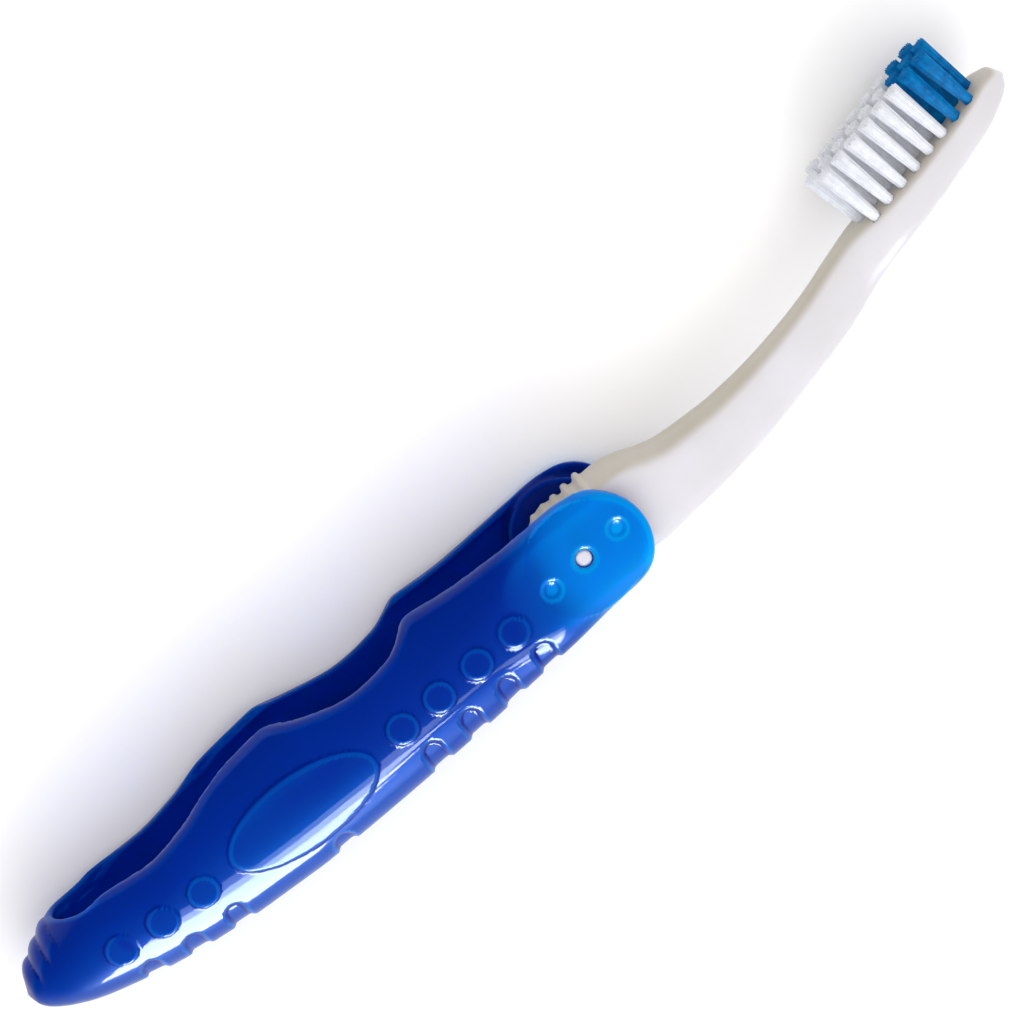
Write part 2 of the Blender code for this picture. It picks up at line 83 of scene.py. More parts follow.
SLOT_HALF = ((-80.0, 5.9), (-60.0, 5.9), (-55.0, 4.8), (-48.0, 4.6), (-24.0, 4.9),
             (-16.0, 5.6), (-8.0, 6.8), (TRIM_X, 8.0))
SLOT_NOSE_REACH = 6.9
SLOT_FLOOR_Y = -1.0
HANDLE_REACH_Y = (-15.7, 9.0)

GROOVE_WIDTH = 3.7
GROOVE_DEPTH = 0.5
GROOVE_RAMP = 0.75
GROOVE_TOPS = ((-11.8, -5.5), (-18.5, -6.5), (-25.1, -7.2), (-31.7, -7.8), (-48.7, -11.3),
               (-66.2, -9.9), (-73.1, -10.0), (-79.8, -9.7))
DISC_RADIUS = 2.25
DISC_RISE = 0.35
DISC_ROUND = 0.35
DISC_FILLET = 0.25
DISCS = ((-13.4, -2.4), (-20.0, -3.0), (-26.7, -3.6), (-33.2, -4.1), (-67.7, -6.1),
         (-74.5, -6.2), (-81.3, -6.3))
PAD_CENTRE = (-50.5, -5.3)
PAD_HALF = (12.2, 5.7)
PAD_RISE = 0.4
PAD_RAMP = 0.7
NOSE_RIDGES = (-94.2, -91.8, -89.4)
NOSE_RIDGE_HALF = 1.2
NOSE_RIDGE_RISE = 0.38
RIDGE_FADE = (3.4, 2.2)   # the ridges fade this far below the opening, over this reach
RIDGE_LEAST = 0.05        # share of a ridge's height that is left below that

HUB_RADIUS = 7.4
HUB_FACE_Z = 6.3
HUB_FILLET = 1.0
HUB_ROOT_Z = 8.75         # inside the wall, deeper than the fillet reaches
PIN_HOLE_RADIUS = 1.27
PIN_HOLE_ROUND = 0.7
DETENT_ORBIT = 6.0
OPEN_DETENT_DEG = 8.0
FOLD_DEG = frame["joints"][0]["range_deg"][1]
DIMPLE_RADIUS = 1.2
DIMPLE_DEPTH = 0.55
DIMPLE_ROUND = 0.5
SOCKET_RADIUS = 1.0
SOCKET_DEPTH = 0.5
SOCKET_ROUND = 0.1

# ---------------------------------------------------------------- brush
BOSS_RADIUS = 5.0
BOSS_HALF = 5.9
BOSS_ROUND = 0.4
BOSS_BLEND = 1.0
TIP_X = 84.2
ROOT_ROUND = 0.1          # edge of the flat where the neck starts, inside the boss
BRUSH_REACH_Y = (-7.0, 19.6)
BRUSH_TOP = ((0.0, 4.7), (6.0, 5.9), (9.0, 6.15), (12.0, 5.75), (14.6, 4.95), (17.4, 4.4),
             (20.0, 4.3), (25.0, 4.4), (30.2, 4.95), (35.4, 5.9), (40.6, 7.2), (45.7, 8.8),
             (50.8, 10.8), (55.0, 12.2), (58.6, 12.95), (63.0, 13.85), (68.2, 15.2),
             (73.0, 16.65), (77.8, 18.25), (81.0, 19.2), (82.8, 19.2), (TIP_X, 17.6))
BRUSH_BACK = ((0.0, -4.7), (5.0, -6.2), (9.9, -6.5), (17.1, -5.95), (26.6, -4.5),
              (36.9, -1.9), (47.5, 1.4), (58.4, 6.3), (66.0, 8.8), (71.0, 10.5),
              (76.0, 12.4), (80.8, 14.5), (83.2, 15.9), (TIP_X, 17.4))
BRUSH_HALF = ((0.0, 5.7), (9.0, 5.7), (12.0, 5.5), (17.0, 5.0), (27.0, 4.25),
              (37.0, 3.7), (47.0, 3.3), (52.0, 3.3), (55.0, 3.7), (58.0, 4.6), (61.0, 5.2),
              (64.0, 5.35), (76.0, 5.35), (79.0, 4.95), (81.5, 3.9), (83.2, 2.6), (TIP_X, 0.4))
BRUSH_SQUARENESS = ((0.0, 6.0), (9.0, 5.5), (17.0, 4.0), (50.0, 3.8), (60.0, 4.5),
                    (78.0, 4.5), (TIP_X, 2.5))
RIB_RADIUS = 0.55
RIB_HALF_LENGTH = 5.4
RIB_ROUND = 0.3
RIB_FILLET = 0.3
RIBS = ((5.7, 5.65), (3.6, 5.35), (1.6, 5.0), (-0.3, 4.75), (-2.2, 4.3))
PIN_RADIUS = 1.2
PIN_END_Z = 9.3
PIN_ROUND = 0.35
PIN_FILLET = 0.3
NUB_RADIUS = 0.6
NUB_RISE = 0.3
NUB_ROUND = 0.2
NUB_FILLET = 0.15

HEAD_ORIGIN = (58.7, 12.95)
HEAD_TILT_DEG = 15.5
TUFT_PITCH = 2.84
TUFT_ROWS = (("upper", 3.4, 8, 0.0), ("middle", 0.0, 9, -0.5 * TUFT_PITCH),
             ("lower", -3.4, 8, 0.0))
FIRST_BLUE_ALONG = 15.0
TUFT_HOLE_RADIUS = 0.68
TUFT_HOLE_DEPTH = 3.1
TUFT_HOLE_ROUND = 0.15
TUFT_FOOT = -1.6
TUFT_TIP = 9.3
TUFT_FOOT_RADIUS = 0.82
TUFT_TIP_RADIUS = 1.24

# ---------------------------------------------------------------- meshing
PITCH = 0.4
SLOPE_STEP = 0.02
BEND_STEP = 0.35
GRID_MARGIN = (1.5, 2.5)  # cells beyond the low and the high end of a solid
LONGEST_PULL = 0.5        # cells
LEAST_SLOPE_SQUARED = 0.25
FIRST_PULLS = 3
RELAX_ROUNDS = 2
RELAX_SHARE = 0.5
RELAX_PULLS = 2


def smooth_line(knots):
    """A curve y(x) through the knots, with no overshoot, for arrays of x."""
    xs, ys = np.array(knots, float).T
    steps = np.diff(xs)
    rises = np.diff(ys) / steps
    slopes = np.zeros(len(xs))
    slopes[[0, -1]] = rises[[0, -1]]
    first = 2.0 * steps[1:] + steps[:-1]
    second = steps[1:] + 2.0 * steps[:-1]
    inner = np.nonzero(rises[:-1] * rises[1:] > 0.0)[0]
    shares = first[inner] / rises[inner] + second[inner] / rises[inner + 1]
    slopes[inner + 1] = (first[inner] + second[inner]) / shares

    def value(x):
        x = np.clip(x, xs[0], xs[-1])
        index = np.clip(np.searchsorted(xs, x, side="right") - 1, 0, len(steps) - 1)
        step = steps[index]
        t = (x - xs[index]) / step
        start = (1.0 + 2.0 * t) * (1.0 - t) ** 2 * ys[index]
        end = t * t * (3.0 - 2.0 * t) * ys[index + 1]
        bend = t * (1.0 - t) ** 2 * slopes[index] - t * t * (1.0 - t) * slopes[index + 1]
        return start + end + step * bend

    return value


# A solid is a function of x, y and z that is about the distance to its surface in
# millimetres, and negative inside.  The next functions combine such distances.
def both(a, b, radius):
    """The part that two solids share, with its edge rounded."""
    corner = np.hypot(np.maximum(a + radius, 0.0), np.maximum(b + radius, 0.0))
    return np.minimum(np.maximum(a, b), -radius) + corner


def joined(a, b, radius):
    """Two solids as one, with a fillet where they meet."""
    return -both(-a, -b, radius)


def without(a, b, radius):
    """The first solid with the second cut out of it, with its edge rounded."""
    return both(a, -b, radius)


def ramp(t):
    """From 0 to 1 as t goes from 0 to 1, with soft ends."""
    t = np.clip(t, 0.0, 1.0)
    return t * t * (3.0 - 2.0 * t)


def oval(x, y, side, lines):
    """A squared-off oval section whose sizes follow four lines along X."""
    values = [line(x) for line in lines]
    slopes = [(line(x + SLOPE_STEP) - line(x - SLOPE_STEP)) / (2.0 * SLOPE_STEP) for line in lines]
    top, bottom, half, power = values
    tall = 0.5 * (top - bottom)
    offset = y - 0.5 * (top + bottom)
    u = np.abs(offset) / tall + 1e-9
    v = side / half + 1e-9
    total = (u ** power + v ** power) ** (1.0 / power)
    pull_u = (u / total) ** (power - 1.0)
    pull_v = (v / total) ** (power - 1.0)
    tall_slope = 0.5 * (slopes[0] - slopes[1])
    middle_slope = 0.5 * (slopes[0] + slopes[1])
    along = pull_u * (u * tall_slope + np.sign(offset) * middle_slope) / tall
    along = along + pull_v * v * slopes[2] / half
    steepness = np.sqrt((pull_u / tall) ** 2 + (pull_v / half) ** 2 + along ** 2)
    return (total - 1.0) / steepness


def rod(x, y, centre, radius):
    """An endless round bar along Z."""
    return np.hypot(x - centre[0], y - centre[1]) - radius


def orbit(angle_deg):
    """The point on the detent circle at an angle from +X."""
    angle = math.radians(angle_deg)
    return (DETENT_ORBIT * math.cos(angle), DETENT_ORBIT * math.sin(angle))


# ---------------------------------------------------------------- handle solid
handle_lines = [smooth_line(knots)
                for knots in (OPENING_LINE, SPINE_LINE, HALF_WIDTH, SQUARENESS)]
rim_lines = [smooth_line(knots) for knots in (RIM_NOSE, RIM_WAIST, RIM_PIVOT)]
slot_line = smooth_line(SLOT_HALF)


def rim_height(x):
    """Height of the wavy rim, its corners softened."""
    total = 0.0
    shifts = np.linspace(-RIM_SOFTEN, RIM_SOFTEN, RIM_SAMPLES)
    for shift in shifts:
        at = x + shift
        past_waist = np.where(at < RIM_PIVOT[0][0], rim_lines[1](at), rim_lines[2](at))
        total = total + np.where(at < RIM_WAIST[0][0], rim_lines[0](at), past_waist)
    return total / len(shifts)


def above_rim(x, y, side):
    """Positive where the handle is open: over the rim, past the round end and in the slot."""
    slope = (rim_height(x + SLOPE_STEP) - rim_height(x - SLOPE_STEP)) / (2.0 * SLOPE_STEP)
    over = (y - rim_height(x)) / np.sqrt(1.0 + slope ** 2)
    past = rod(x, y, LOBE_CENTRE, LOBE_RADIUS)
    under = LOBE_CENTRE[1] - LOBE_RADIUS - y - LOBE_UNDERCUT * (LOBE_CENTRE[0] - x)
    over = np.where(x > LOBE_CENTRE[0], past, np.maximum(over, under))
    reach = np.minimum(x - SLOT_HALF[0][0], 0.0) / SLOT_NOSE_REACH
    slot = (1.0 - np.hypot(reach, side / slot_line(x))) * SLOT_HALF[0][1]
    slot = np.minimum(slot, y - SLOT_FLOOR_Y)
    return both(over, slot, RIM_INNER_ROUND)


def wall_marks(x, y):
    """How far the pads and ridges stand out of the oval body, less the grooves."""
    u = (x - PAD_CENTRE[0]) / PAD_HALF[0]
    v = (y - PAD_CENTRE[1]) / PAD_HALF[1]
    radius = np.hypot(u, v) + 1e-9
    inward = (1.0 - radius) * radius / np.hypot(u / PAD_HALF[0], v / PAD_HALF[1])
    height = PAD_RISE * ramp(inward / PAD_RAMP)
    for top in GROOVE_TOPS:
        arch = np.maximum(y - top[1] + 0.5 * GROOVE_WIDTH, 0.0)
        inward = 0.5 * GROOVE_WIDTH - np.hypot(x - top[0], arch)
        height = height - GROOVE_DEPTH * ramp(inward / GROOVE_RAMP)
    over_nose = ramp((y - handle_lines[0](x) + RIDGE_FADE[0]) / RIDGE_FADE[1])
    over_nose = RIDGE_LEAST + (1.0 - RIDGE_LEAST) * over_nose
    for ridge in NOSE_RIDGES:
        crest = np.maximum(1.0 - ((x - ridge) / NOSE_RIDGE_HALF) ** 2, 0.0)
        height = height + NOSE_RIDGE_RISE * crest * over_nose
    return height


def disc_top(centre):
    """Height of a round mark's flat top above the middle plane."""
    x = np.array(centre[0])
    top, bottom, half, power = (line(x) for line in handle_lines)
    u = abs(centre[1] - 0.5 * (top + bottom)) / (0.5 * (top - bottom))
    return min(float(half * (1.0 - u ** power) ** (1.0 / power)) + DISC_RISE, REST_Z)


def handle_solid(x, y, z):
    """The one-piece handle moulding."""
    side = np.abs(z)
    body = oval(x, y, side, handle_lines)
    outer = body - wall_marks(x, y)
    for centre in DISCS:
        disc = both(rod(x, y, centre, DISC_RADIUS), side - disc_top(centre), DISC_ROUND)
        outer = joined(outer, disc, DISC_FILLET)
    outer = np.maximum(both(outer, side - REST_Z, REST_ROUND), NOSE_X - x)
    opening = above_rim(x, y, side)
    shell = np.maximum(both(outer, opening, RIM_OUTER_ROUND),
                       both(-body - WALL, opening, RIM_INNER_ROUND))
    hub = both(rod(x, y, (0.0, 0.0), HUB_RADIUS), HUB_FACE_Z - side, RIM_INNER_ROUND)
    hub = np.maximum(hub, side - HUB_ROOT_Z)
    shell = joined(shell, hub, HUB_FILLET)
    shell = without(shell, rod(x, y, (0.0, 0.0), PIN_HOLE_RADIUS), PIN_HOLE_ROUND)
    for angle in (OPEN_DETENT_DEG, OPEN_DETENT_DEG + 180.0):
        dimple = rod(x, y, orbit(angle), DIMPLE_RADIUS)
        dimple = both(dimple, REST_Z - DIMPLE_DEPTH - side, DIMPLE_ROUND)
        shell = without(shell, dimple, DIMPLE_ROUND)
    for angle in (OPEN_DETENT_DEG, OPEN_DETENT_DEG + FOLD_DEG):
        socket = rod(x, y, orbit(angle), SOCKET_RADIUS)
        shell = without(shell, np.maximum(socket, side - HUB_FACE_Z - SOCKET_DEPTH), SOCKET_ROUND)
    return np.maximum(shell, x - TRIM_X)


# ---------------------------------------------------------------- brush solid
brush_lines = [smooth_line(knots)
               for knots in (BRUSH_TOP, BRUSH_BACK, BRUSH_HALF, BRUSH_SQUARENESS)]


def head_axes():
    """Directions along the head and out of its bristle face."""
    tilt = math.radians(HEAD_TILT_DEG)
    return (math.cos(tilt), math.sin(tilt)), (-math.sin(tilt), math.cos(tilt))


def tuft_feet():
    """Name, distance along the head and side offset of every tuft."""
    feet = []
    for row, side, count, first in TUFT_ROWS:
        for index in range(count):
            feet.append((f"{row}_{index + 1}", first + index * TUFT_PITCH, side))
    return feet


def brush_solid(x, y, z):
    """Head, neck, ribbed boss and trunnions, one moulding."""
    side = np.abs(z)
    neck = both(oval(x, y, side, brush_lines), -x, ROOT_ROUND)
    neck = np.maximum(neck, x - TIP_X)
    boss = both(rod(x, y, (0.0, 0.0), BOSS_RADIUS), side - BOSS_HALF, BOSS_ROUND)
    body = joined(neck, boss, BOSS_BLEND)
    for rib in RIBS:
        bar = both(rod(x, y, rib, RIB_RADIUS), side - RIB_HALF_LENGTH, RIB_ROUND)
        body = joined(body, bar, RIB_FILLET)
    pin = both(rod(x, y, (0.0, 0.0), PIN_RADIUS), side - PIN_END_Z, PIN_ROUND)
    body = joined(body, pin, PIN_FILLET)
    nub = both(rod(x, y, orbit(OPEN_DETENT_DEG), NUB_RADIUS), side - BOSS_HALF - NUB_RISE, NUB_ROUND)
    body = joined(body, nub, NUB_FILLET)
    along_axis, out_axis = head_axes()
    along = (x - HEAD_ORIGIN[0]) * along_axis[0] + (y - HEAD_ORIGIN[1]) * along_axis[1]
    out = (x - HEAD_ORIGIN[0]) * out_axis[0] + (y - HEAD_ORIGIN[1]) * out_axis[1]
    for _, place, offset in tuft_feet():
        hole = np.hypot(along - place, z - offset) - TUFT_HOLE_RADIUS
        hole = np.maximum(hole, -TUFT_HOLE_DEPTH - out)
        body = without(body, hole, TUFT_HOLE_ROUND)
    return body


# ---------------------------------------------------------------- skinning a solid
def steepest(solid, points):
    """Direction in which the distance grows, at each point."""
    result = np.empty_like(points)
    for axis in range(3):
        step = np.zeros(3)
        step[axis] = SLOPE_STEP
        rise = solid(*(points + step).T) - solid(*(points - step).T)
        result[:, axis] = rise / (2.0 * SLOPE_STEP)
    return result


def bending(solid, points):
    """How sharply the surface bends at each point, per millimetre: above zero on outer edges."""
    total = -6.0 * solid(*points.T)
    for axis in range(3):
        step = np.zeros(3)
        step[axis] = BEND_STEP
        total = total + solid(*(points + step).T) + solid(*(points - step).T)
    return total / BEND_STEP ** 2


def pull_onto(solid, points, pitch, rounds):
    """Move points on to the surface along the steepest way, a little at a time."""
    for _ in range(rounds):
        slope = steepest(solid, points)
        size = np.maximum(np.sum(slope * slope, axis=1), LEAST_SLOPE_SQUARED)
        move = np.clip(solid(*points.T) / size, -LONGEST_PULL * pitch, LONGEST_PULL * pitch)
        points = points - move[:, None] * slope
    return points


def relax(points, quads, share):
    """Move each point towards the middle of the ones it is joined to."""
    first = quads.ravel()
    second = np.roll(quads, -1, axis=1).ravel()
    count = np.bincount(first, minlength=len(points)) + np.bincount(second, minlength=len(points))
    moved = np.empty_like(points)
    for axis in range(3):
        total = np.bincount(first, points[second, axis], len(points))
        total += np.bincount(second, points[first, axis], len(points))
        moved[:, axis] = total / count
    return points + share * (moved - points)


def skin(solid, low, high, pitch):
    """Corners and quads over a solid's surface, one corner in each cell that it crosses."""
    axes = [np.arange(start - GRID_MARGIN[0] * pitch, end + GRID_MARGIN[1] * pitch, pitch)
            for start, end in zip(low, high)]
    shape = tuple(len(axis) for axis in axes)
    grid = np.ix_(*axes)
    values = np.broadcast_to(solid(*grid), shape)
    inside = values < 0.0
    sums = np.zeros((3, int(np.prod(shape))))
    counts = np.zeros(int(np.prod(shape)))
    quads = []
    for axis in range(3):
        near = np.moveaxis(inside, axis, 0)
        crossing = np.moveaxis(near[1:] != near[:-1], 0, axis)
        index = np.array(np.nonzero(crossing))
        after = index.copy()
        after[axis] += 1
        start = values[tuple(index)]
        share = start / (start - values[tuple(after)])
        point = np.array([axes[k][index[k]] for k in range(3)])
        point[axis] += share * pitch
        across, beyond = (axis + 1) % 3, (axis + 2) % 3
        corners = []
        for back_a, back_b in ((1, 1), (0, 1), (0, 0), (1, 0)):
            cell = index.copy()
            cell[across] -= back_a
            cell[beyond] -= back_b
            flat = np.ravel_multi_index(cell, shape)
            corners.append(flat)
            counts += np.bincount(flat, minlength=len(counts))
            for k in range(3):
                sums[k] += np.bincount(flat, point[k], len(counts))
        corners = np.array(corners).T
        outward = start < 0.0
        quads.append(np.where(outward[:, None], corners, corners[:, ::-1]))
    used = np.nonzero(counts)[0]
    number = np.zeros(len(counts), int)
    number[used] = np.arange(len(used))
    points = (sums[:, used] / counts[used]).T
    quads = number[np.concatenate(quads)]
    points = pull_onto(solid, points, pitch, FIRST_PULLS)
    for _ in range(RELAX_ROUNDS):
        points = pull_onto(solid, relax(points, quads, RELAX_SHARE), pitch, RELAX_PULLS)
    return points, quads


def to_world(points):
    """Millimetres from the pivot to metres in the frame's axes."""
    return (np.asarray(points) + PIVOT) * MM


def mesh_object(name, points, quads, material, normals=None):
    """An object made from corner points in millimetres and equal faces."""
    mesh = bpy.data.meshes.new(name)
    sides = quads.shape[1]
    mesh.vertices.add(len(points))
    mesh.vertices.foreach_set("co", to_world(points).astype(np.float32).ravel())
    mesh.loops.add(quads.size)
    mesh.loops.foreach_set("vertex_index", quads.astype(np.int32).ravel())
    mesh.polygons.add(len(quads))
    mesh.polygons.foreach_set("loop_start", np.arange(0, quads.size, sides, dtype=np.int32))
    mesh.update(calc_edges=True)
    mesh.validate()
    mesh.shade_smooth()
    if normals is not None:
        mesh.normals_split_custom_set_from_vertices(normals)
    mesh.materials.append(material)
    obj = bpy.data.objects.new(name, mesh)
    bpy.context.scene.collection.objects.link(obj)
    return obj


def moulding(name, solid, low, high, pitch, material):
    """A moulded part, skinned and shaded by its own solid."""
    points, quads = skin(solid, low, high, pitch)
    normals = steepest(solid, points)
    normals /= np.linalg.norm(normals, axis=1)[:, None]
    piece = mesh_object(name, points, quads, material, normals)
    bend = piece.data.attributes.new("bend", "FLOAT", "POINT")
    bend.data.foreach_set("value", bending(solid, points).astype(np.float32))
    return piece


# ---------------------------------------------------------------- bristles
STRANDS = 72
STRAND_RADIUS = 0.1
STRAND_SIDES = 6
STRAND_LEVELS = (TUFT_FOOT, 0.4, 2.2, 4.4, 6.8, TUFT_TIP - 0.06, TUFT_TIP)
STRAND_END_SHARE = 0.6    # width of a filament's rounded end
STRAND_LEAN = 0.05
STRAND_UNEVENNESS = 0.03
FAN_START = 0.3           # height over the head's face at which a tuft starts to fan out
GOLDEN_ANGLE = math.pi * (3.0 - math.sqrt(5.0))
CORE_SHARE = 0.9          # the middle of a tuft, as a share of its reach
CORE_SIDES = 18
FLUTE_SHARE = 0.9         # reach of the core's flutes, as a share of its ridges
CORE_EDGE_DROP = 0.5      # the core's edge and flat top, this far below the tips
CORE_TOP_DROP = 0.35
CORE_TOP_SHARE = 0.9


def tuft_core(along, offset):
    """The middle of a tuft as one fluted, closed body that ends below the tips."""
    along_axis, out_axis = head_axes()
    angles = np.arange(CORE_SIDES) * 2.0 * math.pi / CORE_SIDES
    flute = np.where(np.arange(CORE_SIDES) % 2 == 0, 1.0, FLUTE_SHARE)
    levels = ((TUFT_FOOT, 0.0, 1.0), (FAN_START, 0.0, 1.0), (TUFT_TIP - CORE_EDGE_DROP, 1.0, 1.0),
              (TUFT_TIP - CORE_TOP_DROP, 1.0, CORE_TOP_SHARE))
    points = []
    for level, fan, taper in levels:
        reach = TUFT_FOOT_RADIUS + (TUFT_TIP_RADIUS - TUFT_FOOT_RADIUS) * fan
        reach = reach * CORE_SHARE * flute * taper
        u = along + reach * np.cos(angles)
        x = HEAD_ORIGIN[0] + u * along_axis[0] + level * out_axis[0]
        y = HEAD_ORIGIN[1] + u * along_axis[1] + level * out_axis[1]
        points.append(np.array([x, y, offset + reach * np.sin(angles)]).T)
    quads = []
    for ring in range(len(points) - 1):
        for index in range(CORE_SIDES):
            low = ring * CORE_SIDES
            after = (index + 1) % CORE_SIDES
            high = low + CORE_SIDES
            quads.append((low + index, high + index, high + after, low + after))
    for first, turn in ((0, 1), ((len(points) - 1) * CORE_SIDES, -1)):
        for index in range(1, CORE_SIDES - 2, 2):
            fan = (first, first + index, first + index + 1, first + index + 2)
            quads.append(fan[::turn])
    return np.concatenate(points), np.array(quads)


def tuft_strands(along, offset, rng):
    """Corner points and quads of a bundle of fine filaments that fans out to its tip."""
    along_axis, out_axis = head_axes()
    turns = np.arange(STRANDS) * GOLDEN_ANGLE + rng.uniform(0.0, 6.28)
    spread = np.sqrt((np.arange(STRANDS) + 0.5) / STRANDS)
    lean = rng.normal(0.0, STRAND_LEAN, (STRANDS, 2))
    length = rng.normal(0.0, STRAND_UNEVENNESS, STRANDS)
    rings = []
    for level in STRAND_LEVELS:
        share = np.clip((level - FAN_START) / (TUFT_TIP - FAN_START), 0.0, 1.0)
        reach = TUFT_FOOT_RADIUS + (TUFT_TIP_RADIUS - TUFT_FOOT_RADIUS) * share
        reach = (reach - STRAND_RADIUS) * spread
        centre_u = along + reach * np.cos(turns) + lean[:, 0] * share
        centre_w = offset + reach * np.sin(turns) + lean[:, 1] * share
        height = level + length * share
        radius = STRAND_RADIUS * (STRAND_END_SHARE if level == STRAND_LEVELS[-1] else 1.0)
        for index in range(STRAND_SIDES):
            angle = 2.0 * math.pi * index / STRAND_SIDES
            u = centre_u + radius * math.cos(angle)
            w = centre_w + radius * math.sin(angle)
            x = HEAD_ORIGIN[0] + u * along_axis[0] + height * out_axis[0]
            y = HEAD_ORIGIN[1] + u * along_axis[1] + height * out_axis[1]
            rings.append(np.array([x, y, w]).T)
    rings = np.array(rings).reshape(len(STRAND_LEVELS), STRAND_SIDES, STRANDS, 3)
    points = rings.transpose(2, 0, 1, 3).reshape(-1, 3)
    per_strand = len(STRAND_LEVELS) * STRAND_SIDES
    quads = []
    for ring in range(len(STRAND_LEVELS) - 1):
        for index in range(STRAND_SIDES):
            after = (index + 1) % STRAND_SIDES
            low = ring * STRAND_SIDES
            high = low + STRAND_SIDES
            quads.append((low + index, high + index, high + after, low + after))
    top = (len(STRAND_LEVELS) - 1) * STRAND_SIDES
    for first, turn in ((0, 1), (top, -1)):
        ring = [first + index for index in range(STRAND_SIDES)][::turn]
        quads.append((ring[0], ring[1], ring[2], ring[3]))
        quads.append((ring[0], ring[3], ring[4], ring[5]))
    starts = np.arange(STRANDS)[:, None, None] * per_strand
    quads = (np.array(quads)[None] + starts).reshape(-1, 4)
    core_points, core_quads = tuft_core(along, offset)
    return np.concatenate([points, core_points]), np.concatenate([quads, core_quads + len(points)])


# ---------------------------------------------------------------- materials
BOSS_GLOW = 22.0          # radius of the painted glow over the boss, where the blue is painted lighter
BOSS_GLOW_CENTRE = (4.0, 0.0)
BOSS_GLOW_STRENGTH = 0.5
DIMPLE_GLOW = 2.2         # radius of the painted glow at the pin hole and the dimples
DIMPLE_GLOW_STRENGTH = 0.25
# the ramp runs from navy, for painted shade, to azure, for painted glow
BLUES = ((0.0, (0.0, 0.012, 0.2)), (0.25, (0.0, 0.028, 0.35)), (0.5, (0.0, 0.1, 0.52)),
         (0.75, (0.0, 0.27, 0.86)), (1.0, (0.0, 0.45, 0.95)))


def new_material(name):
    """A material, its node tree and its Principled shader."""
    material = bpy.data.materials.new(name)
    material.use_nodes = True
    tree = material.node_tree
    return material, tree, tree.nodes["Principled BSDF"]


def add_node(tree, kind, **settings):
    """A node with its settings, and with its inputs given by name."""
    node = tree.nodes.new(kind)
    for key, value in settings.items():
        if key in node.inputs:
            node.inputs[key].default_value = value
        else:
            setattr(node, key, value)
    return node


def spread(tree, source, over, values, kind="SMOOTHSTEP"):
    """A value that goes from the first to the second as the source goes over a range."""
    node = add_node(tree, "ShaderNodeMapRange", interpolation_type=kind)
    for name, value in zip(("From Min", "From Max", "To Min", "To Max"), (*over, *values)):
        node.inputs[name].default_value = value
    tree.links.new(source, node.inputs["Value"])
    return node.outputs["Result"]


def coloured(tree, source, stops):
    """A colour along a ramp of stops, each a position and a colour."""
    node = tree.nodes.new("ShaderNodeValToRGB")
    elements = node.color_ramp.elements
    for element, (position, colour) in zip(elements, (stops[0], stops[-1])):
        element.position = position
        element.color = (*colour, 1.0)
    for position, colour in stops[1:-1]:
        elements.new(position).color = (*colour, 1.0)
    tree.links.new(source, node.inputs["Fac"])
    return node.outputs["Color"]


def combined(tree, operation, first, second):
    """Two values through one Math node."""
    node = add_node(tree, "ShaderNodeMath", operation=operation)
    tree.links.new(first, node.inputs[0])
    tree.links.new(second, node.inputs[1])
    return node.outputs["Value"]


def spot(tree, source, centre, radius, strength):
    """A soft round spot about an axis parallel to Z, its centre and radius in millimetres."""
    place = add_node(tree, "ShaderNodeMapping")
    place.inputs["Location"].default_value = (-centre[0] / radius, -centre[1] / radius, 0.0)
    place.inputs["Scale"].default_value = (1.0 / (radius * MM), 1.0 / (radius * MM), 0.0)
    fade = add_node(tree, "ShaderNodeTexGradient", gradient_type="SPHERICAL")
    tree.links.new(source, place.inputs["Vector"])
    tree.links.new(place.outputs["Vector"], fade.inputs["Vector"])
    return spread(tree, fade.outputs["Fac"], over=(0.2, 0.75), values=(0.0, strength))


